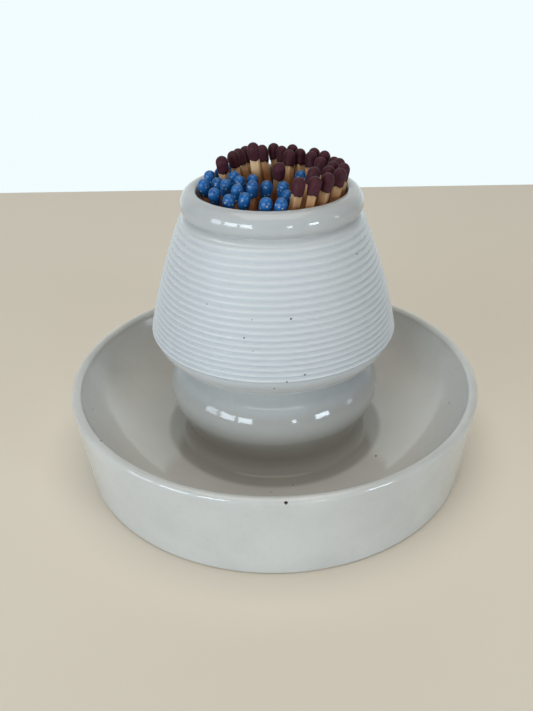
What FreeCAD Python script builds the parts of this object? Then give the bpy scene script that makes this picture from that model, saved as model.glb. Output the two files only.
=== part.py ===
import FreeCAD, Part
import cmath
import math
import os

# Match striker: a turned stoneware dish with a ribbed cone on a pedestal, and loose matches in its well.
# Millimetres. The origin is the middle of the foot and +Z is up.

# Dish
dish_radius = 60.0
dish_height = 26.6
lip_thickness = 2.8
foot_radius = 57.6
foot_edge_round = 1.2
foot_ring_width = 6.0
foot_recess = 2.4
bowl_round = 26.0
dish_floor = 7.4
moat_fall = 0.7

# Pedestal: a bulb that tapers to a waist below and to a neck above. Each rise starts where the last one ended.
foot_cove_reach = 2.4
foot_cove_depth = 1.1
waist_radius = 24.9
waist_rise = 4.9
bulb_radius = 30.2
bulb_rise = 12.4
bulb_round = 7.5
neck_radius = 22.8
neck_rise = 10.6
neck_cove_reach = 2.0
neck_cove_depth = 0.6
skirt_rise = 2.3

# Ribbed cone
skirt_radius = 31.5
skirt_edge = 0.5
belly_radius = 35.1
belly_rise = 5.4
band_bow = 0.55
shoulder_wall = 4.5
shoulder_rise = 32.3
cone_bow = 0.8
rib_count = 20
rib_depth = 0.42
rib_widening = 1.35

# Collar and well
mouth_radius = 19.9
mouth_edge_round = 2.2
collar_wall = 4.5
collar_rise = 7.8
collar_depth = 4.3
collar_underside_round = 1.4
collar_side_bow = 0.15
throat_wall = 3.6
throat_bow = 0.35
well_depth = 45.4
well_flare = 0.7
well_floor_round = 2.5

# Matches
splint_side = 2.2
head_radius = 1.72
head_length = 4.9
head_collar_radius = 1.5
head_side_bow = 0.22
match_clearance = 0.15
blue_match_length = 49.0
red_match_length = 53.0
tall_match_length = 55.9

# The bundle: each foot is its head turned about the axis, drawn in and moved over by a share of the mouth's
# radius, before the splints make room.
bundle_twist = 60.0
bundle_narrowing = 0.75
bundle_shift = -0.35
head_plane_rise = 2.6
turn_between_splints = 37.0
gap_radius = 3.1
settling_rounds = 600
hold_on_head = 0.10
held_share_of_rounds = 0.75
compared_levels = 9
compared_above_heads = 0.1

# Where the heads stand, seen from above, as x + y j in shares of the mouth's radius, chosen by eye.
blue_heads = (
    -0.88 - 0.12j, -0.82 + 0.33j, -0.75 + 0.38j, -0.72 - 0.45j, -0.72 - 0.05j, -0.60 + 0.60j,
    -0.53 + 0.15j, -0.57 - 0.17j, -0.50 - 0.68j, -0.42 - 0.10j, -0.40 - 0.40j, -0.33 - 0.70j,
    -0.28 - 0.03j, -0.23 - 0.38j, -0.03 - 0.25j, 0.10 - 0.70j, 0.15 - 0.33j, 0.25 - 0.85j,
    0.40 + 0.23j, 0.03 - 0.78j,
)
red_heads = (
    -0.62 + 0.23j, -0.50 + 0.47j, -0.42 + 0.70j, -0.35 + 0.88j, -0.03 + 0.88j, 0.00 + 1.00j,
    0.17 + 0.80j, 0.25 + 0.60j, 0.33 + 0.88j, 0.50 + 0.78j, 0.07 - 0.15j, 0.65 + 0.75j,
    0.72 + 0.68j, 0.68 + 0.35j, 0.82 + 0.57j, 0.90 + 0.45j, 0.95 + 0.28j, 0.85 + 0.12j,
    0.72 - 0.17j, 0.53 - 0.25j, 0.47 - 0.82j, 0.30 - 0.75j, 0.72 - 0.70j, 0.88 - 0.40j,
    0.93 - 0.10j,
)
tall_heads = (-0.20 + 0.28j,)
# The open gap near the front, which no match crosses, in the same shares.
gap_place = -0.10 - 0.56j

# Derived
lip_radius = dish_radius - lip_thickness
lip_height = dish_height - lip_thickness / 2
moat_height = dish_floor - moat_fall
waist_height = moat_height + waist_rise
bulb_height = waist_height + bulb_rise
neck_height = bulb_height + neck_rise
skirt_height = neck_height + skirt_rise
belly_height = skirt_height + belly_rise
shoulder_height = belly_height + shoulder_rise
collar_height = shoulder_height + collar_rise
shoulder_radius = mouth_radius + shoulder_wall
throat_radius = mouth_radius + throat_wall
collar_radius = mouth_radius + collar_wall
well_floor_height = collar_height - well_depth
well_foot_radius = mouth_radius + well_flare
head_plane = collar_height + head_plane_rise
splint_diagonal = splint_side * math.sqrt(2)
spacing = max(splint_diagonal, 2 * head_radius) + 2 * match_clearance
# Even steps from a little above the head plane, at 0, down to the floor of the well, at 1.
level_step = (1 + compared_above_heads) / (compared_levels - 1)
compared_shares = [level * level_step - compared_above_heads for level in range(compared_levels)]


def point(radius, height):
    return FreeCAD.Vector(radius, 0, height)


def on_circle(centre, radius, degrees):
    angle = math.radians(degrees)
    return (centre[0] + radius * math.cos(angle), centre[1] + radius * math.sin(angle))


def bowed(start, end, bow):
    """The point half way from start to end, moved out of the line by bow."""
    run = (end[0] - start[0], end[1] - start[1])
    length = math.hypot(*run)
    return (
        (start[0] + end[0]) / 2 + bow * run[1] / length,
        (start[1] + end[1]) / 2 - bow * run[0] / length,
    )


def touching_degrees(centre, radius, outside, side):
    """Where on a circle the straight line to a point outside it touches: side is 1 above the point, -1 below."""
    run = (outside[0] - centre[0], outside[1] - centre[1])
    spread = math.acos(radius / math.hypot(*run))
    return math.degrees(math.atan2(run[1], run[0]) + side * spread)


class Profile:
    """A half section drawn in the XZ plane, one edge after another."""

    def __init__(self, radius, height):
        self.start = point(radius, height)
        self.end = self.start
        self.edges = []

    def line(self, radius, height):
        target = point(radius, height)
        self.edges.append(Part.LineSegment(self.end, target).toShape())
        self.end = target

    def arc(self, middle, target):
        middle_point = point(*middle)
        target_point = point(*target)
        self.edges.append(Part.Arc(self.end, middle_point, target_point).toShape())
        self.end = target_point

    def arc_about(self, centre, radius, first, last):
        """The arc of a circle from one direction to another, both in degrees."""
        self.arc(on_circle(centre, radius, (first + last) / 2), on_circle(centre, radius, last))

    def turned(self):
        """The solid of revolution about +Z."""
        if self.end.distanceToPoint(self.start) > 1e-6:
            self.line(self.start.x, self.start.z)
        face = Part.Face(Part.Wire(self.edges))
        return face.revolve(FreeCAD.Vector(0, 0, 0), FreeCAD.Vector(0, 0, 1), 360)


def draw_foot(profile):
    inner = foot_radius - foot_ring_width
    profile.line(inner - foot_recess, foot_recess)
    profile.line(inner, 0)
    profile.line(foot_radius - foot_edge_round, 0)
    profile.arc_about((foot_radius - foot_edge_round, foot_edge_round), foot_edge_round, -90, 0)


def draw_dish(profile):
    lip_round = lip_thickness / 2
    profile.line(dish_radius, lip_height)
    profile.arc_about((dish_radius - lip_round, lip_height), lip_round, 0, 180)
    centre_height = dish_floor + bowl_round
    drop = centre_height - lip_height
    centre = (lip_radius - math.sqrt(bowl_round ** 2 - drop ** 2), centre_height)
    lip_direction = -math.degrees(math.asin(drop / bowl_round))
    profile.arc_about(centre, bowl_round, lip_direction, -90)
    profile.line(waist_radius + foot_cove_reach, moat_height)


def draw_pedestal(profile):
    waist = (waist_radius, waist_height)
    neck = (neck_radius, neck_height)
    moat = (waist_radius + foot_cove_reach, moat_height)
    profile.arc(bowed(waist, moat, foot_cove_depth), waist)
    centre = (bulb_radius - bulb_round, bulb_height)
    low = touching_degrees(centre, bulb_round, waist, 1)
    high = touching_degrees(centre, bulb_round, neck, -1)
    profile.line(*on_circle(centre, bulb_round, low))
    profile.arc_about(centre, bulb_round, low, high)
    profile.line(*neck)
    cove_end = (neck_radius + neck_cove_reach, skirt_height)
    profile.arc(bowed(neck, cove_end, -neck_cove_depth), cove_end)


def draw_cone(profile):
    profile.line(skirt_radius - skirt_edge, skirt_height)
    skirt_start = (skirt_radius, skirt_height + skirt_edge)
    profile.line(*skirt_start)
    belly = (belly_radius - rib_depth, belly_height)
    profile.arc(bowed(skirt_start, belly, band_bow), belly)
    widths = [1 + (rib_widening - 1) * k / rib_count for k in range(rib_count)]
    travelled = 0.0
    groove = belly
    for width in widths:
        travelled += width / sum(widths)
        swell = 4 * cone_bow * travelled * (1 - travelled)
        next_groove = (
            belly[0] + (shoulder_radius - belly[0]) * travelled + swell,
            belly[1] + (shoulder_height - belly[1]) * travelled,
        )
        profile.arc(bowed(groove, next_groove, rib_depth), next_groove)
        groove = next_groove


def draw_collar(profile):
    throat_top = (throat_radius, collar_height - collar_depth)
    shoulder = (shoulder_radius, shoulder_height)
    profile.arc(bowed(shoulder, throat_top, -throat_bow), throat_top)
    side_foot = (collar_radius, throat_top[1] + collar_underside_round)
    profile.arc(bowed(throat_top, side_foot, collar_side_bow), side_foot)
    crown_radius = mouth_radius + mouth_edge_round
    edge_round = collar_wall - mouth_edge_round
    side_top = (collar_radius, collar_height - edge_round)
    profile.arc(bowed(side_foot, side_top, collar_side_bow), side_top)
    profile.arc_about((crown_radius, side_top[1]), edge_round, 0, 90)
    profile.arc_about((crown_radius, collar_height - mouth_edge_round), mouth_edge_round, 90, 180)


def draw_well(profile):
    profile.line(well_foot_radius, well_floor_height + well_floor_round)
    centre = (well_foot_radius - well_floor_round, well_floor_height + well_floor_round)
    profile.arc_about(centre, well_floor_round, 0, -90)
    profile.line(0, well_floor_height)


def striker_body():
    """Dish, pedestal, ribbed cone and collar, turned as one piece."""
    profile = Profile(0, foot_recess)
    draw_foot(profile)
    draw_dish(profile)
    draw_pedestal(profile)
    draw_cone(profile)
    draw_collar(profile)
    draw_well(profile)
    return profile.turned()


def upright_match(length):
    """A square splint standing on the origin with its dipped head at the top."""
    splint = Part.makeBox(
        splint_side,
        splint_side,
        length - head_radius,
        FreeCAD.Vector(-splint_side / 2, -splint_side / 2, 0),
    )
    head = Profile(0, length - head_length)
    head.line(head_collar_radius, length - head_length)
    equator = (head_radius, length - head_radius)
    head.arc(bowed((head_collar_radius, length - head_length), equator, head_side_bow), equator)
    head.arc_about((0, length - head_radius), head_radius, 0, 90)
    return splint.fuse(head.turned()).removeSplitter()


class Match:
    """One match, whose straight axis passes the head plane at head and the well floor at foot."""

    def __init__(self, colour, length, place):
        self.colour = colour
        self.length = length
        self.chosen_head = place * mouth_radius
        self.head = self.chosen_head
        turn = bundle_narrowing * cmath.exp(-1j * math.radians(bundle_twist))
        self.foot = turn * self.head + bundle_shift * mouth_radius

    def run(self):
        """From the foot to the head plane."""
        across = self.head - self.foot
        return FreeCAD.Vector(across.real, across.imag, head_plane - well_floor_height)

    def slope(self):
        """The cosine of the lean."""
        return (head_plane - well_floor_height) / self.run().Length

    def at(self, share):
        """Where the axis is, seen from above, this share of the way down from the head plane."""
        return self.head * (1 - share) + self.foot * share

    def move(self, share, step):
        """Shifts the axis by step at this share of the way down, and by less elsewhere."""
        weight = (1 - share) ** 2 + share ** 2
        self.head += step * (1 - share) / weight
        self.foot += step * share / weight

    def stay_inside(self, share, radius):
        """Draws the axis in where it would pass the wall of the well."""
        limit = radius - splint_diagonal / 2 / self.slope() - match_clearance
        place = self.at(share)
        if abs(place) > limit:
            self.move(share, place / abs(place) * limit - place)

    def stay_clear_of_gap(self):
        """Moves the axis away where it would cross the open gap."""
        room = gap_radius + splint_diagonal / 2 / self.slope() + match_clearance
        gap = gap_place * mouth_radius
        away, share = min((abs(self.at(share) - gap), share) for share in compared_shares)
        if away < room:
            self.move(share, (self.at(share) - gap) / away * (room - away))

    def solid(self, turn):
        """The match on the floor of the well, which the lowest corner of its foot just clears."""
        run = self.run()
        corner_drop = splint_diagonal / 2 * math.sin(math.acos(self.slope()))
        lift = match_clearance + corner_drop
        base = FreeCAD.Vector(self.foot.real, self.foot.imag, well_floor_height)
        base += run * (lift / run.z)
        shape = upright_match(self.length)
        about_itself = FreeCAD.Rotation(FreeCAD.Vector(0, 0, 1), turn)
        tilt = FreeCAD.Rotation(FreeCAD.Vector(0, 0, 1), run)
        shape.Placement = FreeCAD.Placement(base, tilt.multiply(about_itself))
        return shape


def widest_lack(one, other):
    """How much room two matches lack, at worst, and the share of the way down where that is."""
    room = spacing / min(one.slope(), other.slope())
    return max((room - abs(one.at(share) - other.at(share)), share) for share in compared_shares)


def settle(matches):
    """Moves the splints until none comes too near another or the wall, with the heads held near their places."""
    mouth_share = head_plane_rise / (head_plane - well_floor_height)
    for settling in range(settling_rounds):
        hold = hold_on_head * max(0.0, 1 - settling / (settling_rounds * held_share_of_rounds))
        for match in matches:
            match.head += (match.chosen_head - match.head) * hold
        for i, one in enumerate(matches):
            for other in matches[:i]:
                lack, share = widest_lack(one, other)
                if lack > 0:
                    apart = one.at(share) - other.at(share)
                    push = apart / abs(apart) * lack / 2
                    one.move(share, push)
                    other.move(share, -push)
        for match in matches:
            match.stay_clear_of_gap()
            match.stay_inside(mouth_share, mouth_radius)
            match.stay_inside(1, well_foot_radius - well_floor_round)


def standing_matches():
    """Each match with its name. One that finds no room is left out."""
    kinds = (
        ("blue", blue_match_length, blue_heads),
        ("red", red_match_length, red_heads),
        ("red", tall_match_length, tall_heads),
    )
    matches = [Match(colour, length, place) for colour, length, places in kinds for place in places]
    settle(matches)
    counts = {"blue": 0, "red": 0}
    standing = []
    for match in matches:
        if any(widest_lack(match, other)[0] > match_clearance for other in standing):
            continue
        standing.append(match)
        counts[match.colour] += 1
        name = "%s_match_%02d" % (match.colour, counts[match.colour])
        yield name, match.solid(turn_between_splints * len(standing))


os.makedirs("parts", exist_ok=True)
striker_body().exportStep("parts/striker_body.step")
for match_name, match_shape in standing_matches():
    match_shape.exportStep("parts/%s.step" % match_name)
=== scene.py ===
import math
import random

import bmesh
import bpy
from mathutils import Matrix, Vector, noise


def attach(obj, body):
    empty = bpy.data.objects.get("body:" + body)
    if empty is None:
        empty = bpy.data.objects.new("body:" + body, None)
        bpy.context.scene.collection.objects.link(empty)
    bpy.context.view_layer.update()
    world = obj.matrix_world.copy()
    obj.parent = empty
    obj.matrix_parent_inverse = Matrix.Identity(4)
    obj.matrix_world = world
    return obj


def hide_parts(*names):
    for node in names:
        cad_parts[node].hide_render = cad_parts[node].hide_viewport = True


# Looks of the match striker: a turned stoneware striker, glazed but for its foot ring, and the matches in its
# well.
# Everything is in metres, in the frame of the solids.

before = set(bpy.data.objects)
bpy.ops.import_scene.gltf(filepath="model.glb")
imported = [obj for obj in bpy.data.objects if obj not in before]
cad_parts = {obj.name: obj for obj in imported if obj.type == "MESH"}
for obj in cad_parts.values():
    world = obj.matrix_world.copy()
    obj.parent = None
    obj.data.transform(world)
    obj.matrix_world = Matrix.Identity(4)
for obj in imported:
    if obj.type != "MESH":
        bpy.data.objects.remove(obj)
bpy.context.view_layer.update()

MM = 0.001

# Sizes of the striker in millimetres. They are the solids' own, but for the pedestal's waist and swelling, the
# ribs and the collar, which were fitted again after the solids were made.
DISH_RADIUS = 60.0
DISH_HEIGHT = 26.6
LIP_THICKNESS = 2.8
FOOT_RADIUS = 57.6
FOOT_EDGE_ROUND = 1.2
FOOT_RING_WIDTH = 6.0
FOOT_RECESS = 2.4
BOWL_ROUND = 26.0
DISH_FLOOR = 7.4
MOAT_HEIGHT = DISH_FLOOR - 0.7

FOOT_COVE_REACH = 1.6
FOOT_COVE_DEPTH = 0.7
WAIST_RADIUS = 26.6
WAIST_HEIGHT = 11.6
BULB_RADIUS = 31.0
BULB_HEIGHT = 23.5
BULB_ROUND = 9.5
NECK_RADIUS = 22.8
NECK_HEIGHT = 34.6
NECK_COVE_REACH = 2.0
NECK_COVE_DEPTH = 0.6

SKIRT_HEIGHT = 36.9
SKIRT_RADIUS = 31.5
SKIRT_EDGE = 0.5
BELLY_RADIUS = 35.1
BELLY_HEIGHT = SKIRT_HEIGHT + 5.4
BAND_BOW = 0.55
SHOULDER_HEIGHT = BELLY_HEIGHT + 32.3
CONE_BOW = 0.8
RIB_COUNT = 20
RIB_DEPTH = 0.66
RIB_WIDENING = 1.35

MOUTH_RADIUS = 19.9
SHOULDER_RADIUS = MOUTH_RADIUS + 4.5
THROAT_RADIUS = MOUTH_RADIUS + 3.6
THROAT_BOW = 0.12
COLLAR_WALL = 4.5
COLLAR_RADIUS = MOUTH_RADIUS + COLLAR_WALL
COLLAR_HEIGHT = SHOULDER_HEIGHT + 7.8
COLLAR_DEPTH = 6.2
COLLAR_UNDERSIDE_ROUND = 1.4
COLLAR_SIDE_BOW = 0.12
COLLAR_CROWN_INSET = 1.3
COLLAR_SHOULDER_FALL = 4.2
WELL_FLOOR_HEIGHT = COLLAR_HEIGHT - 45.4
WELL_FOOT_RADIUS = MOUTH_RADIUS + 0.7
WELL_FLOOR_ROUND = 2.5

TURNS = 256


# The half section
def arc_through(start, middle, end, steps):
    """Points on the circle through three points, without the first."""
    (ax, ay), (bx, by), (cx, cy) = start, middle, end
    d = 2 * (ax * (by - cy) + bx * (cy - ay) + cx * (ay - by))
    aa, bb, cc = ax * ax + ay * ay, bx * bx + by * by, cx * cx + cy * cy
    ux = (aa * (by - cy) + bb * (cy - ay) + cc * (ay - by)) / d
    uy = (aa * (cx - bx) + bb * (ax - cx) + cc * (bx - ax)) / d
    radius = math.hypot(ax - ux, ay - uy)
    first = math.atan2(ay - uy, ax - ux)
    half = math.atan2(by - uy, bx - ux) - first
    whole = math.atan2(cy - uy, cx - ux) - first
    half -= math.tau * round(half / math.tau)
    whole -= math.tau * round(whole / math.tau)
    if half > 0 > whole or (half > 0 and whole < half):
        whole += math.tau
    if half < 0 < whole or (half < 0 and whole > half):
        whole -= math.tau
    return [
        (ux + radius * math.cos(first + whole * k / steps), uy + radius * math.sin(first + whole * k / steps))
        for k in range(1, steps + 1)
    ]


def smooth_run(points, steps):
    """Points on one smooth curve through all the given ones, without the first."""
    ends = [
        tuple(2 * points[0][i] - points[1][i] for i in (0, 1)),
        *points,
        tuple(2 * points[-1][i] - points[-2][i] for i in (0, 1)),
    ]
    run = []
    for a, b, c, d in zip(ends, ends[1:], ends[2:], ends[3:]):
        for k in range(1, steps + 1):
            t = k / steps
            run.append(
                tuple(
                    0.5
                    * (
                        2 * b[i]
                        + (c[i] - a[i]) * t
                        + (2 * a[i] - 5 * b[i] + 4 * c[i] - d[i]) * t * t
                        + (3 * b[i] - a[i] - 3 * c[i] + d[i]) * t**3
                    )
                    for i in (0, 1)
                )
            )
    return run


def bowed(start, end, bow):
    run = (end[0] - start[0], end[1] - start[1])
    length = math.hypot(*run)
    return (
        (start[0] + end[0]) / 2 + bow * run[1] / length,
        (start[1] + end[1]) / 2 - bow * run[0] / length,
    )


def straight(start, end, steps):
    return [
        (start[0] + (end[0] - start[0]) * k / steps, start[1] + (end[1] - start[1]) * k / steps)
        for k in range(1, steps + 1)
    ]


def on_circle(centre, radius, degrees):
    angle = math.radians(degrees)
    return (centre[0] + radius * math.cos(angle), centre[1] + radius * math.sin(angle))


def round_about(centre, radius, first, last, steps):
    """Points on a circle from one direction to another, both in degrees, without the first."""
    return [on_circle(centre, radius, first + (last - first) * k / steps) for k in range(1, steps + 1)]


def touching_degrees(centre, radius, outside, side):
    """Where on a circle the line to a point outside it touches: side is 1 above the point, -1 below."""
    run = (outside[0] - centre[0], outside[1] - centre[1])
    spread = math.acos(radius / math.hypot(*run))
    return math.degrees(math.atan2(run[1], run[0]) + side * spread)


def foot_section():
    inner = FOOT_RADIUS - FOOT_RING_WIDTH
    run = [(0.0, FOOT_RECESS)]
    run += straight(run[-1], (inner - FOOT_RECESS - 1.0, FOOT_RECESS), 8)
    corner = (inner - FOOT_RECESS, FOOT_RECESS)
    run += arc_through(run[-1], (corner[0] - 0.25, corner[1] - 0.12), (corner[0] + 0.6, corner[1] - 0.75), 4)
    run += straight(run[-1], (inner - 0.5, 0.32), 2)
    run += arc_through(run[-1], (inner - 0.1, 0.07), (inner + 0.5, 0.0), 4)
    run += straight(run[-1], (FOOT_RADIUS - FOOT_EDGE_ROUND, 0.0), 4)
    centre = (FOOT_RADIUS - FOOT_EDGE_ROUND, FOOT_EDGE_ROUND)
    reach = FOOT_EDGE_ROUND * math.sqrt(0.5)
    run += arc_through(run[-1], (centre[0] + reach, centre[1] - reach), (FOOT_RADIUS, FOOT_EDGE_ROUND), 6)
    return run


def dish_section(start):
    lip = LIP_THICKNESS / 2
    lip_height = DISH_HEIGHT - lip
    lip_radius = DISH_RADIUS - LIP_THICKNESS
    run = straight(start, (DISH_RADIUS, lip_height), 8)
    run += round_about((DISH_RADIUS - lip, lip_height), lip, 0, 180, 14)
    centre_height = DISH_FLOOR + BOWL_ROUND
    drop = centre_height - lip_height
    centre = (lip_radius - math.sqrt(BOWL_ROUND**2 - drop**2), centre_height)
    run += round_about(centre, BOWL_ROUND, -math.degrees(math.asin(drop / BOWL_ROUND)), -90, 40)
    run += straight(run[-1], (WAIST_RADIUS + FOOT_COVE_REACH, MOAT_HEIGHT), 5)
    return run


def pedestal_section(start):
    waist = (WAIST_RADIUS, WAIST_HEIGHT)
    neck = (NECK_RADIUS, NECK_HEIGHT)
    run = arc_through(start, bowed(waist, start, FOOT_COVE_DEPTH), waist, 10)
    centre = (BULB_RADIUS - BULB_ROUND, BULB_HEIGHT)
    low = touching_degrees(centre, BULB_ROUND, waist, 1)
    high = touching_degrees(centre, BULB_ROUND, neck, -1)
    run += straight(run[-1], on_circle(centre, BULB_ROUND, low), 6)
    run += round_about(centre, BULB_ROUND, low, high, 22)
    run += straight(run[-1], neck, 5)
    cove_end = (NECK_RADIUS + NECK_COVE_REACH, SKIRT_HEIGHT)
    run += arc_through(run[-1], bowed(neck, cove_end, -NECK_COVE_DEPTH), cove_end, 6)
    return run


def cone_section(start):
    run = straight(start, (SKIRT_RADIUS - SKIRT_EDGE, SKIRT_HEIGHT), 4)
    run += round_about((SKIRT_RADIUS - SKIRT_EDGE, SKIRT_HEIGHT + SKIRT_EDGE), SKIRT_EDGE, -90, 0, 5)
    belly = (BELLY_RADIUS - RIB_DEPTH, BELLY_HEIGHT)
    run += arc_through(run[-1], bowed(run[-1], belly, BAND_BOW), belly, 8)
    shares = [1 + (RIB_WIDENING - 1) * k / RIB_COUNT for k in range(RIB_COUNT)]
    travelled = 0.0
    for share in shares:
        travelled += share / sum(shares)
        swell = 4 * CONE_BOW * travelled * (1 - travelled)
        groove = (
            belly[0] + (SHOULDER_RADIUS - belly[0]) * travelled + swell,
            belly[1] + (SHOULDER_HEIGHT - belly[1]) * travelled,
        )
        last = run[-1]
        span = (groove[0] - last[0], groove[1] - last[1])
        length = math.hypot(*span)
        for k in range(1, 11):
            t = k / 10
            rise = RIB_DEPTH * abs(math.sin(math.pi * t)) ** 1.25
            radius = last[0] + span[0] * t + rise * span[1] / length
            height = last[1] + span[1] * t - rise * span[0] / length
            run.append((radius, height))
    return run


def collar_section(start):
    throat_top = (THROAT_RADIUS, COLLAR_HEIGHT - COLLAR_DEPTH)
    run = arc_through(start, bowed(start, throat_top, THROAT_BOW), throat_top, 10)
    side_foot = (COLLAR_RADIUS, throat_top[1] + COLLAR_UNDERSIDE_ROUND)
    run += arc_through(run[-1], bowed(throat_top, side_foot, COLLAR_SIDE_BOW), side_foot, 6)
    crown = MOUTH_RADIUS + COLLAR_CROWN_INSET
    out = COLLAR_RADIUS - crown
    run += straight(run[-1], (COLLAR_RADIUS, COLLAR_HEIGHT - COLLAR_SHOULDER_FALL), 2)
    for k in range(1, 21):
        turn = math.pi / 2 * k / 20
        height = COLLAR_HEIGHT - COLLAR_SHOULDER_FALL * (1 - math.sin(turn))
        run.append((crown + out * math.cos(turn), height))
    run += round_about((crown, COLLAR_HEIGHT - COLLAR_CROWN_INSET), COLLAR_CROWN_INSET, 90, 180, 8)
    return run


def well_section(start):
    run = straight(start, (WELL_FOOT_RADIUS, WELL_FLOOR_HEIGHT + WELL_FLOOR_ROUND), 10)
    centre = (WELL_FOOT_RADIUS - WELL_FLOOR_ROUND, WELL_FLOOR_HEIGHT + WELL_FLOOR_ROUND)
    run += round_about(centre, WELL_FLOOR_ROUND, 0, -90, 6)
    run += straight(run[-1], (0.0, WELL_FLOOR_HEIGHT), 5)
    return run


def striker_section():
    run = foot_section()
    run += dish_section(run[-1])
    run += pedestal_section(run[-1])
    run += cone_section(run[-1])
    run += collar_section(run[-1])
    run += well_section(run[-1])
    return run


# Meshes
def finished_object(name, bm, materials):
    mesh = bpy.data.meshes.new(name)
    bm.to_mesh(mesh)
    bm.free()
    for material in materials:
        mesh.materials.append(material)
    made = bpy.data.objects.new(name, mesh)
    bpy.context.scene.collection.objects.link(made)
    return made


def hand_of_the_thrower(height, angle):
    """How far, in millimetres, the turned wall strays at this place: the ribs waver a little on the wheel."""
    place = Vector((math.cos(angle) * 1.6, math.sin(angle) * 1.6, height * 0.045))
    slow = noise.noise(place)
    quick = noise.noise(Vector((math.cos(angle) * 5, math.sin(angle) * 5, height * 0.8)))
    return 0.10 * slow + 0.035 * quick


def turned_body(section, materials):
    """The section swept once round +Z, as one closed mesh no wider than the dish and not below its foot."""
    bm = bmesh.new()
    rings = []
    for radius, height in section:
        if radius < 1e-6:
            rings.append([bm.verts.new((0, 0, height * MM))])
            continue
        free = min(1.0, max(0.0, height - 1.5) / 3.0)
        ring = []
        for k in range(TURNS):
            angle = math.tau * k / TURNS
            stray = hand_of_the_thrower(height, angle) * free
            reach = min(radius + stray, DISH_RADIUS) * MM
            ring.append(bm.verts.new((reach * math.cos(angle), reach * math.sin(angle), max(height, 0) * MM)))
        rings.append(ring)
    for lower, upper in zip(rings, rings[1:]):
        for k in range(TURNS):
            n = (k + 1) % TURNS
            if len(lower) == 1:
                bm.faces.new((lower[0], upper[n], upper[k]))
            elif len(upper) == 1:
                bm.faces.new((lower[k], lower[n], upper[0]))
            else:
                bm.faces.new((lower[k], lower[n], upper[n], upper[k]))
    for face in bm.faces:
        face.smooth = True
    bmesh.ops.recalc_face_normals(bm, faces=bm.faces)
    return finished_object("glazed_striker", bm, materials)


def axis_of(node):
    """Foot middle, head tip and one foot corner of a match, read from its solid."""
    points = [v.co.copy() for v in node.data.vertices]
    low = min(p.z for p in points)
    corners = []
    for p in points:
        if p.z < low + 4 * MM and all((p - q).length > 0.3 * MM for q in corners):
            corners.append(p)
    foot = sum(corners, Vector()) / len(corners)
    tip = max(points, key=lambda p: (p - foot).length)
    return foot, tip, corners[0]


def ring_of(bm, outline, height):
    return [bm.verts.new((x * MM, y * MM, height * MM)) for x, y in outline]


def bridge(bm, lower, upper, material_index):
    count = len(lower)
    for k in range(count):
        face = bm.faces.new((lower[k], lower[(k + 1) % count], upper[(k + 1) % count], upper[k]))
        face.material_index = material_index
        face.smooth = True


def cap(bm, ring, material_index, turned_over=False, smooth=False):
    face = bm.faces.new(list(reversed(ring)) if turned_over else ring)
    face.material_index = material_index
    face.smooth = smooth


def square_outline(side, round_off, twist, wander):
    """Sixteen points round a sawn square splint with its corners just broken."""
    half = side / 2
    outline = []
    for corner in range(4):
        angle = math.pi / 4 + corner * math.pi / 2
        for step in range(4):
            turn = angle + (step - 1.5) / 3 * math.pi / 2
            cx = math.copysign(half - round_off, math.cos(angle))
            cy = math.copysign(half - round_off, math.sin(angle))
            x = cx + round_off * math.cos(turn)
            y = cy + round_off * math.sin(turn)
            outline.append((x, y))
    co, si = math.cos(twist), math.sin(twist)
    return [(x * co - y * si + wander[0], x * si + y * co + wander[1]) for x, y in outline]


HEAD_SHAPES = {
    # share of the head's length from its lower edge, share of its widest radius
    "red": ((0.0, 0.83), (0.06, 0.90), (0.16, 0.93), (0.30, 0.96), (0.46, 0.99), (0.60, 1.0), (0.72, 0.95),
            (0.82, 0.83), (0.90, 0.65), (0.955, 0.45), (0.985, 0.25)),
    "blue": ((0.0, 0.80), (0.06, 0.88), (0.18, 0.92), (0.34, 0.97), (0.50, 1.0), (0.62, 0.99), (0.74, 0.93),
             (0.84, 0.80), (0.92, 0.60), (0.965, 0.40), (0.99, 0.20)),
}
SPLINT_SIDE = 2.2
# Every match ends this much below the tip of its solid, so that a leaning head stays inside the solids' box.
TIP_TRIM = 0.35
# The red heads are 0.3 shorter than the solids'.
HEAD_LENGTH = {"red": 4.6, "blue": 4.5}
HEAD_RADIUS = {"red": 1.72, "blue": 1.62}


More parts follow.
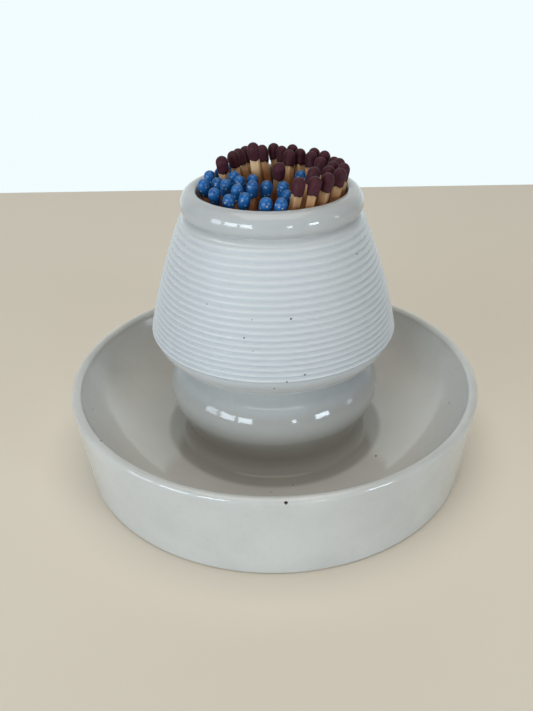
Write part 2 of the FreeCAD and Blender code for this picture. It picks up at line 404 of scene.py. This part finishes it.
def dipped_match(name, colour, node, wood, tip_material, draw):
    """One match: a sawn splint that runs up into its dipped head."""
    foot, tip, corner = axis_of(node)
    length = (tip - foot).length / MM - TIP_TRIM
    bm = bmesh.new()
    twist_total = draw.uniform(-0.10, 0.10)
    bend = (draw.uniform(-0.10, 0.10), draw.uniform(-0.10, 0.10))
    head_length = HEAD_LENGTH[colour] * draw.uniform(0.93, 1.0)
    head_radius = HEAD_RADIUS[colour] * draw.uniform(0.95, 1.0)
    shoulder = length - head_length
    rows = 9
    previous = None
    for row in range(rows + 1):
        t = row / rows
        height = (shoulder + 1.2) * t
        bow = 4 * t * (1 - t)
        outline = square_outline(
            SPLINT_SIDE * (0.96 + 0.03 * math.sin(7 * t + bend[0] * 50)),
            0.16,
            twist_total * t,
            (bend[0] * bow, bend[1] * bow),
        )
        ring = ring_of(bm, outline, height)
        if previous:
            bridge(bm, previous, ring, 0)
        else:
            cap(bm, ring, 0, turned_over=True, smooth=True)
        previous = ring
    cap(bm, previous, 0, smooth=True)
    # The head.
    seed = draw.uniform(0, 100)
    lean = (draw.uniform(-0.10, 0.10), draw.uniform(-0.10, 0.10))
    around = 28
    rings = []
    shape = smooth_run(HEAD_SHAPES[colour], 2)
    shape.insert(0, HEAD_SHAPES[colour][0])
    for share, width in shape:
        ring = []
        for k in range(around):
            angle = math.tau * k / around
            squareness = 1 + 0.09 * max(0.0, 0.55 - share) * math.cos(4 * angle - math.pi)
            lump = noise.noise(Vector((math.cos(angle) * 1.3 + seed, math.sin(angle) * 1.3, share * 2.6)))
            drip = 0.55 * noise.noise(Vector((math.cos(angle) * 1.1, math.sin(angle) * 1.1 + seed, 4.0)))
            drip *= max(0.0, 1 - share / 0.35)
            radius = head_radius * width * squareness * (1 + 0.045 * lump)
            ring.append(
                bm.verts.new(
                    (
                        (radius * math.cos(angle) + lean[0] * share) * MM,
                        (radius * math.sin(angle) + lean[1] * share) * MM,
                        (shoulder + head_length * share + drip) * MM,
                    )
                )
            )
        rings.append(ring)
    for lower, upper in zip(rings, rings[1:]):
        bridge(bm, lower, upper, 1)
    under = [
        bm.verts.new((v.co.x * 0.80, v.co.y * 0.80, v.co.z + 0.22 * MM)) for v in rings[0]
    ]
    bridge(bm, under, rings[0], 1)
    cap(bm, under, 1, turned_over=True)
    crown = bm.verts.new((lean[0] * MM, lean[1] * MM, length * MM))
    for k in range(around):
        face = bm.faces.new((rings[-1][k], rings[-1][(k + 1) % around], crown))
        face.material_index = 1
        face.smooth = True
    made = finished_object(name, bm, (wood, tip_material))
    up = (tip - foot).normalized()
    side = (corner - foot) - up * (corner - foot).dot(up)
    side.normalize()
    side = Matrix.Rotation(-math.pi / 4, 3, up) @ side
    across = up.cross(side)
    place = Matrix.Identity(4)
    for i in range(3):
        place[i][0], place[i][1], place[i][2], place[i][3] = side[i], across[i], up[i], foot[i]
    made.matrix_world = place
    return made


# Shader groups
def new_group(name, inputs, outputs):
    group = bpy.data.node_groups.new(name, "ShaderNodeTree")
    for label, kind, value in inputs:
        socket = group.interface.new_socket(name=label, in_out="INPUT", socket_type=kind)
        socket.default_value = value
    for label, kind in outputs:
        group.interface.new_socket(name=label, in_out="OUTPUT", socket_type=kind)
    return group, group.nodes.new("NodeGroupInput"), group.nodes.new("NodeGroupOutput")


class Bench:
    """Lays nodes into one tree and links them."""

    def __init__(self, tree):
        self.tree = tree

    def node(self, kind, settings=None, **inputs):
        made = self.tree.nodes.new(kind)
        for key, value in (settings or {}).items():
            setattr(made, key, value)
        for key, value in inputs.items():
            self.feed(made, key.replace("_", " "), value)
        return made

    def feed(self, node, key, value):
        socket = node.inputs[int(key[1:])] if key[0] == "#" else node.inputs[key]
        if isinstance(value, bpy.types.NodeSocket):
            self.tree.links.new(value, socket)
        else:
            socket.default_value = value

    def math(self, operation, a, b=None, c=None, clamp=False):
        made = self.tree.nodes.new("ShaderNodeMath")
        made.operation = operation
        made.use_clamp = clamp
        for index, value in enumerate((a, b, c)):
            if value is not None:
                self.feed(made, "#%d" % index, value)
        return made.outputs[0]

    def vector(self, operation, a, b=None):
        made = self.tree.nodes.new("ShaderNodeVectorMath")
        made.operation = operation
        self.feed(made, "#0", a)
        if b is not None:
            self.feed(made, "#1", b)
        return made.outputs["Value" if operation in ("LENGTH", "DISTANCE", "DOT_PRODUCT") else "Vector"]

    def ramp(self, value, low, high, to_low=0.0, to_high=1.0, smooth=False):
        made = self.tree.nodes.new("ShaderNodeMapRange")
        made.interpolation_type = "SMOOTHSTEP" if smooth else "LINEAR"
        self.feed(made, "Value", value)
        made.inputs["From Min"].default_value = low
        made.inputs["From Max"].default_value = high
        made.inputs["To Min"].default_value = to_low
        made.inputs["To Max"].default_value = to_high
        return made.outputs["Result"]

    def mix(self, factor, a, b):
        made = self.tree.nodes.new("ShaderNodeMix")
        made.data_type = "RGBA"
        self.feed(made, "#0", factor)
        self.feed(made, "#6", a)
        self.feed(made, "#7", b)
        return made.outputs[2]

    def noise(self, vector, scale, detail=2.0, roughness=0.5):
        made = self.tree.nodes.new("ShaderNodeTexNoise")
        self.feed(made, "Vector", vector)
        made.inputs["Scale"].default_value = scale
        made.inputs["Detail"].default_value = detail
        made.inputs["Roughness"].default_value = roughness
        return made.outputs["Fac"]


def speck_group():
    """Round specks strewn over a surface: the fired iron in the glaze, or the pale grains in a match head."""
    group, given, out = new_group(
        "strewn_specks",
        (
            ("Vector", "NodeSocketVector", (0, 0, 0)),
            ("Cells per metre", "NodeSocketFloat", 400.0),
            ("Share of cells", "NodeSocketFloat", 0.2),
            ("Size", "NodeSocketFloat", 0.2),
        ),
        (("Mask", "NodeSocketFloat"),),
    )
    b = Bench(group)
    cells = b.node("ShaderNodeTexVoronoi", {"feature": "F1"})
    b.feed(cells, "Vector", given.outputs["Vector"])
    b.feed(cells, "Scale", given.outputs["Cells per metre"])
    chosen = b.node("ShaderNodeSeparateColor")
    b.feed(chosen, "Color", cells.outputs["Color"])
    present = b.math("LESS_THAN", chosen.outputs["Red"], given.outputs["Share of cells"])
    size = b.math("MULTIPLY", given.outputs["Size"], b.ramp(chosen.outputs["Green"], 0, 1, 0.45, 1.0))
    inside = b.math("SUBTRACT", 1.0, b.math("DIVIDE", cells.outputs["Distance"], size))
    soft = b.math("MULTIPLY", inside, 3.0, clamp=True)
    b.feed(out, "Mask", b.math("MULTIPLY", soft, present))
    return group


def spot_group():
    """One spot at a chosen place, with a frayed edge."""
    group, given, out = new_group(
        "single_spot",
        (
            ("Vector", "NodeSocketVector", (0, 0, 0)),
            ("Place", "NodeSocketVector", (0, 0, 0)),
            ("Radius", "NodeSocketFloat", 0.0005),
        ),
        (("Mask", "NodeSocketFloat"),),
    )
    b = Bench(group)
    away = b.vector("DISTANCE", given.outputs["Vector"], given.outputs["Place"])
    share = b.math("DIVIDE", away, given.outputs["Radius"])
    fray = b.ramp(b.noise(given.outputs["Vector"], 2600.0, 1.0), 0.3, 0.7, -0.25, 0.25)
    inside = b.math("SUBTRACT", 1.15, b.math("ADD", share, fray))
    b.feed(out, "Mask", b.math("MULTIPLY", inside, 3.0, clamp=True))
    return group


def grain_group():
    """Long wood grain along Z: a tone and a relief."""
    group, given, out = new_group(
        "splint_grain",
        (("Vector", "NodeSocketVector", (0, 0, 0)), ("Seed", "NodeSocketFloat", 0.0)),
        (("Tone", "NodeSocketFloat"), ("Relief", "NodeSocketFloat")),
    )
    b = Bench(group)
    seed = given.outputs["Seed"]
    shift = b.node("ShaderNodeCombineXYZ", X=seed, Y=seed, Z=seed)
    moved = b.vector("ADD", given.outputs["Vector"], shift.outputs[0])
    drawn = b.vector("MULTIPLY", moved, (1.0, 1.0, 0.045))
    broad = b.noise(drawn, 700.0, 3.0, 0.6)
    fine = b.noise(drawn, 3200.0, 2.0, 0.7)
    b.feed(out, "Tone", b.math("ADD", b.math("MULTIPLY", broad, 0.6), b.math("MULTIPLY", fine, 0.4)))
    b.feed(out, "Relief", fine)
    return group


SPECKS = speck_group()
SPOT = spot_group()
GRAIN = grain_group()


def blank_material(name):
    material = bpy.data.materials.new(name)
    material.use_nodes = True
    bench = Bench(material.node_tree)
    shader = material.node_tree.nodes["Principled BSDF"]
    where = bench.node("ShaderNodeTexCoord").outputs["Object"]
    return material, bench, shader, where


def place_on_section(radius, height, degrees):
    """A point on the striker's skin. Degrees run from the camera's side, positive to the right."""
    angle = math.radians(degrees - 90)
    return (radius * math.cos(angle) * MM, radius * math.sin(angle) * MM, height * MM)


# Larger iron spots that the eye finds at once: radius, height, degrees to the right of the front, size.
IRON_SPOTS = (
    (59.8, 25.9, 2.3, 0.44),
    (57.7, 26.3, -51.6, 0.36),
    (30.8, 58.4, 8.1, 0.30),
    (32.1, 53.8, -13.0, 0.22),
    (30.8, 58.3, -9.6, 0.20),
    (26.7, 69.1, 53.7, 0.24),
    (28.6, 64.7, -51.1, 0.20),
    (30.1, 60.2, -33.0, 0.18),
    (32.9, 50.8, -8.9, 0.16),
    (34.6, 44.4, 12.9, 0.28),
    (34.9, 43.0, 5.3, 0.22),
    (34.1, 40.6, 0.0, 0.22),
    (54.7, 19.9, -77.6, 0.22),
    (53.0, 17.4, 82.1, 0.22),
    (35.6, 7.6, 56.0, 0.26),
    (35.0, 7.4, -2.0, 0.22),
    (32.4, 7.4, 8.7, 0.20),
)


def glaze_material():
    """Pale grey stoneware glaze, glossy all over, with bare clay on the ring it stands on.

    The tints of the ribs, the collar, the dish's floor, the pedestal's swelling and the well are painted light
    and painted shade, fitted to this scene's light, and are not known to be the glaze's own.
    """
    material, b, shader, where = blank_material("pale_stoneware_glaze")
    apart = b.node("ShaderNodeSeparateXYZ", Vector=where)
    height = apart.outputs["Z"]
    ribs = b.math(
        "MULTIPLY",
        b.ramp(height, 40.5 * MM, 42.5 * MM, smooth=True),
        b.ramp(height, 73.5 * MM, 75.5 * MM, 1.0, 0.0, smooth=True),
    )
    cloud = b.noise(where, 55.0, 3.0, 0.55)
    mottle = b.noise(where, 900.0, 2.0, 0.6)
    body = b.mix(b.ramp(cloud, 0.35, 0.65), (0.505, 0.505, 0.490, 1), (0.560, 0.560, 0.542, 1))
    body = b.mix(b.math("MULTIPLY", b.ramp(mottle, 0.55, 0.75), 0.22), body, (0.42, 0.415, 0.39, 1))
    # The ribs are tinted lighter and bluer: painted window light.
    body = b.mix(ribs, body, (0.575, 0.600, 0.620, 1))
    # The collar is painted darker: painted shade.
    on_collar = b.ramp(height, 74.4 * MM, 76.0 * MM, smooth=True)
    body = b.mix(b.math("MULTIPLY", on_collar, 0.75), body, (0.420, 0.430, 0.440, 1))
    flat = b.node("ShaderNodeCombineXYZ", X=apart.outputs["X"], Y=apart.outputs["Y"])
    out_from_axis = b.vector("LENGTH", flat.outputs[0])
    # The dish's floor is painted lighter: painted light.
    dish_bottom = b.math(
        "MULTIPLY",
        b.ramp(height, 20 * MM, 9 * MM, smooth=True),
        b.ramp(out_from_axis, 56.5 * MM, 54 * MM, smooth=True),
    )
    body = b.mix(b.math("MULTIPLY", dish_bottom, 0.60), body, (0.635, 0.622, 0.595, 1))
    # The pedestal's swelling is painted darker: painted shade.
    swelling = b.math(
        "MULTIPLY",
        b.ramp(height, 31 * MM, 27 * MM, smooth=True),
        b.ramp(out_from_axis, 34 * MM, 32 * MM, smooth=True),
    )
    body = b.mix(b.math("MULTIPLY", swelling, 0.78), body, (0.36, 0.345, 0.315, 1))
    # Deep in the well the glaze is painted dark warm brown: painted shade with the wood's warm reflected light.
    inside_well = b.math(
        "MULTIPLY",
        b.ramp(out_from_axis, (MOUTH_RADIUS + 1.2) * MM, (MOUTH_RADIUS + 0.7) * MM),
        b.ramp(height, (COLLAR_HEIGHT - 1.0) * MM, (COLLAR_HEIGHT - 5.0) * MM, smooth=True),
    )
    above_dish = b.ramp(height, (SKIRT_HEIGHT - 1.0) * MM, SKIRT_HEIGHT * MM)
    painted_well_shade = b.math("MULTIPLY", inside_well, above_dish)
    body = b.mix(b.math("MULTIPLY", painted_well_shade, 0.8), body, (0.16, 0.085, 0.045, 1))
    few = b.node("ShaderNodeGroup", {"node_tree": SPECKS})
    b.feed(few, "Vector", where)
    few.inputs["Cells per metre"].default_value = 130.0
    few.inputs["Share of cells"].default_value = 0.30
    few.inputs["Size"].default_value = 0.030
    many = b.node("ShaderNodeGroup", {"node_tree": SPECKS})
    b.feed(many, "Vector", where)
    many.inputs["Cells per metre"].default_value = 420.0
    many.inputs["Share of cells"].default_value = 0.16
    many.inputs["Size"].default_value = 0.055
    body = b.mix(b.math("MULTIPLY", many.outputs["Mask"], 0.35), body, (0.30, 0.27, 0.23, 1))
    body = b.mix(b.math("MULTIPLY", few.outputs["Mask"], 0.75), body, (0.12, 0.09, 0.06, 1))
    for radius, tall, degrees, size in IRON_SPOTS:
        spot = b.node("ShaderNodeGroup", {"node_tree": SPOT})
        b.feed(spot, "Vector", where)
        spot.inputs["Place"].default_value = place_on_section(radius, tall, degrees)
        spot.inputs["Radius"].default_value = size * MM
        body = b.mix(spot.outputs["Mask"], body, (0.035, 0.022, 0.012, 1))
    bare = b.ramp(height, 0.25 * MM, 0.45 * MM, 1.0, 0.0)
    body = b.mix(bare, body, (0.56, 0.47, 0.36, 1))
    b.feed(shader, "Base Color", body)
    gloss = b.ramp(ribs, 0, 1, 0.07, 0.10)
    gloss = b.math("ADD", gloss, b.math("MULTIPLY", b.ramp(cloud, 0.3, 0.7), 0.03))
    rough = b.math("MAXIMUM", gloss, b.math("MULTIPLY", bare, 0.8))
    b.feed(shader, "Roughness", rough)
    shader.inputs["IOR"].default_value = 1.52
    skin = b.math("MULTIPLY", b.noise(where, 420.0, 2.0, 0.5), 0.9)
    grit = b.math("MULTIPLY", b.math("MULTIPLY", b.noise(where, 4200.0, 2.0, 0.6), ribs), 2.0)
    bump = b.node("ShaderNodeBump")
    bump.inputs["Strength"].default_value = 0.55
    bump.inputs["Distance"].default_value = 0.00008
    b.feed(bump, "Height", b.math("ADD", skin, grit))
    b.feed(shader, "Normal", bump.outputs["Normal"])
    return material


def wood_material():
    material, b, shader, where = blank_material("aspen_splint")
    info = b.node("ShaderNodeObjectInfo")
    grain = b.node("ShaderNodeGroup", {"node_tree": GRAIN})
    b.feed(grain, "Vector", where)
    b.feed(grain, "Seed", info.outputs["Random"])
    tone = b.ramp(grain.outputs["Tone"], 0.35, 0.68)
    colour = b.mix(tone, (0.60, 0.37, 0.175, 1), (0.80, 0.58, 0.345, 1))
    along = b.node("ShaderNodeSeparateXYZ", Vector=where).outputs["Z"]
    # Lower down, deeper in the well, the splints are painted darker and warmer: painted shade with warm
    # reflected light.
    colour = b.mix(b.ramp(along, 51.5 * MM, 44 * MM, 0.0, 0.95, smooth=True), colour, (0.27, 0.098, 0.026, 1))
    b.feed(shader, "Base Color", colour)
    b.feed(shader, "Roughness", b.ramp(grain.outputs["Tone"], 0.3, 0.7, 0.72, 0.58))
    bump = b.node("ShaderNodeBump")
    bump.inputs["Strength"].default_value = 0.5
    bump.inputs["Distance"].default_value = 0.00006
    b.feed(bump, "Height", grain.outputs["Relief"])
    b.feed(shader, "Normal", bump.outputs["Normal"])
    return material


def red_head_material():
    material, b, shader, where = blank_material("maroon_match_head")
    cloud = b.noise(where, 900.0, 3.0, 0.6)
    fine = b.noise(where, 6000.0, 2.0, 0.6)
    colour = b.mix(b.ramp(cloud, 0.3, 0.7), (0.036, 0.0045, 0.0095, 1), (0.062, 0.008, 0.016, 1))
    b.feed(shader, "Base Color", colour)
    b.feed(shader, "Roughness", b.ramp(fine, 0.3, 0.7, 0.52, 0.70))
    shader.inputs["Specular IOR Level"].default_value = 0.28
    shader.inputs["Sheen Weight"].default_value = 0.10
    shader.inputs["Sheen Roughness"].default_value = 0.45
    shader.inputs["Sheen Tint"].default_value = (0.85, 0.55, 0.60, 1)
    bump = b.node("ShaderNodeBump")
    bump.inputs["Strength"].default_value = 0.6
    bump.inputs["Distance"].default_value = 0.00005
    b.feed(bump, "Height", b.math("ADD", b.math("MULTIPLY", cloud, 0.8), b.math("MULTIPLY", fine, 0.5)))
    b.feed(shader, "Normal", bump.outputs["Normal"])
    return material


def blue_head_material():
    material, b, shader, where = blank_material("blue_match_head")
    cloud = b.noise(where, 700.0, 3.0, 0.6)
    grains = b.node("ShaderNodeGroup", {"node_tree": SPECKS})
    b.feed(grains, "Vector", where)
    grains.inputs["Cells per metre"].default_value = 1000.0
    grains.inputs["Share of cells"].default_value = 0.5
    grains.inputs["Size"].default_value = 0.36
    colour = b.mix(b.ramp(cloud, 0.3, 0.7), (0.006, 0.075, 0.25, 1), (0.012, 0.145, 0.42, 1))
    colour = b.mix(b.math("MULTIPLY", grains.outputs["Mask"], 0.8), colour, (0.56, 0.53, 0.40, 1))
    b.feed(shader, "Base Color", colour)
    b.feed(shader, "Roughness", b.ramp(cloud, 0.3, 0.7, 0.26, 0.42))
    bump = b.node("ShaderNodeBump")
    bump.inputs["Strength"].default_value = 0.6
    bump.inputs["Distance"].default_value = 0.00007
    b.feed(bump, "Height", b.math("ADD", cloud, b.math("MULTIPLY", grains.outputs["Mask"], 0.4)))
    b.feed(shader, "Normal", bump.outputs["Normal"])
    return material


# The pieces
glaze = glaze_material()
wood = wood_material()
tips = {"red": red_head_material(), "blue": blue_head_material()}

striker = turned_body(striker_section(), (glaze,))
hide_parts("striker_body")
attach(striker, "root")

draw = random.Random(26)
for node_name in sorted(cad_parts):
    if "_match_" not in node_name:
        continue
    colour = node_name.split("_")[0]
    number = node_name.split("_")[-1]
    match = dipped_match(
        "%s_tipped_match_%s" % (colour, number), colour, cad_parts[node_name], wood, tips[colour], draw
    )
    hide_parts(node_name)
    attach(match, "root")


# Floor, light and camera
def flat_sheet(name, corners, material):
    bm = bmesh.new()
    bm.faces.new([bm.verts.new(corner) for corner in corners])
    return finished_object(name, bm, (material,))


def pale_floor_material():
    material, b, shader, where = blank_material("pale_studio_floor")
    b.feed(shader, "Base Color", (0.77, 0.70, 0.60, 1))
    shader.inputs["Roughness"].default_value = 0.9
    return material


FAR_EDGE = 0.27
floor = flat_sheet(
    "studio_floor", ((-3, -2.4, 0), (3, -2.4, 0), (3, FAR_EDGE, 0), (-3, FAR_EDGE, 0)), pale_floor_material()
)


def softbox(name, azimuth, elevation, distance, width, height, watts, colour=(1.0, 1.0, 1.0)):
    """A rectangular lamp that faces the striker. Azimuth is in degrees to the right of the camera."""
    light = bpy.data.lights.new(name, "AREA")
    light.shape = "RECTANGLE"
    light.size = width
    light.size_y = height
    light.energy = watts
    light.color = colour
    lamp = bpy.data.objects.new(name, light)
    turn = math.radians(azimuth - 90)
    lift = math.radians(elevation)
    aim = Vector((0, 0, 0.04))
    away = Vector((math.cos(lift) * math.cos(turn), math.cos(lift) * math.sin(turn), math.sin(lift)))
    lamp.location = aim + away * distance
    lamp.rotation_euler = (-away).to_track_quat("-Z", "Y").to_euler()
    bpy.context.scene.collection.objects.link(lamp)


SKY = (0.78, 0.90, 1.0)
WARM = (1.0, 0.94, 0.84)
softbox("left_pane_far", -68, 9, 1.8, 0.44, 0.52, 4.2, SKY)
softbox("left_pane_middle", -49, 9, 1.8, 0.50, 0.52, 8.0, SKY)
softbox("left_pane_near", -30, 9, 1.8, 0.44, 0.52, 8.2, SKY)
softbox("middle_pane", 20, 9, 1.9, 0.16, 0.34, 2.6, SKY)
softbox("right_pane", 50, 9, 1.9, 0.46, 0.40, 8.8, SKY)
softbox("side_pane", 84, 8, 1.9, 0.24, 0.34, 0.8, SKY)
softbox("ceiling", 0, 80, 1.6, 1.6, 1.6, 15.5, WARM)

world = bpy.data.worlds.new("room")
world.use_nodes = True
room = Bench(world.node_tree)
background = world.node_tree.nodes["Background"]
toward = room.node("ShaderNodeSeparateXYZ", Vector=room.node("ShaderNodeTexCoord").outputs["Generated"])
behind = room.ramp(toward.outputs["Y"], 0.50, 0.86, 0.15, 1.0)
background.inputs["Color"].default_value = (0.88, 0.98, 1.0, 1)
room.feed(background, "Strength", behind)
bpy.context.scene.world = world

FOCAL_PIXELS = 700.0
LONG_SIDE_PIXELS = 711
CAMERA_BACK = 0.1821
CAMERA_UP = 0.1365
pitch, yaw, roll = math.radians(30.199), math.radians(-0.676), math.radians(-1.118)
ahead = Vector((math.sin(yaw) * math.cos(pitch), math.cos(yaw) * math.cos(pitch), -math.sin(pitch)))
right = Vector((math.cos(yaw), -math.sin(yaw), 0))
above = right.cross(ahead)
rolled_right = math.cos(roll) * right + math.sin(roll) * above
rolled_up = -math.sin(roll) * right + math.cos(roll) * above
camera = bpy.data.cameras.new("camera")
camera.sensor_width = 36
camera.lens = FOCAL_PIXELS / LONG_SIDE_PIXELS * 36
camera.clip_start = 0.01
eye = bpy.data.objects.new("camera", camera)
stand = Matrix.Identity(4)
for i in range(3):
    stand[i][0], stand[i][1], stand[i][2] = rolled_right[i], rolled_up[i], -ahead[i]
stand[1][3], stand[2][3] = -CAMERA_BACK, CAMERA_UP
eye.matrix_world = stand
bpy.context.scene.collection.objects.link(eye)
bpy.context.scene.camera = eye
bpy.context.scene.view_settings.view_transform = "Standard"
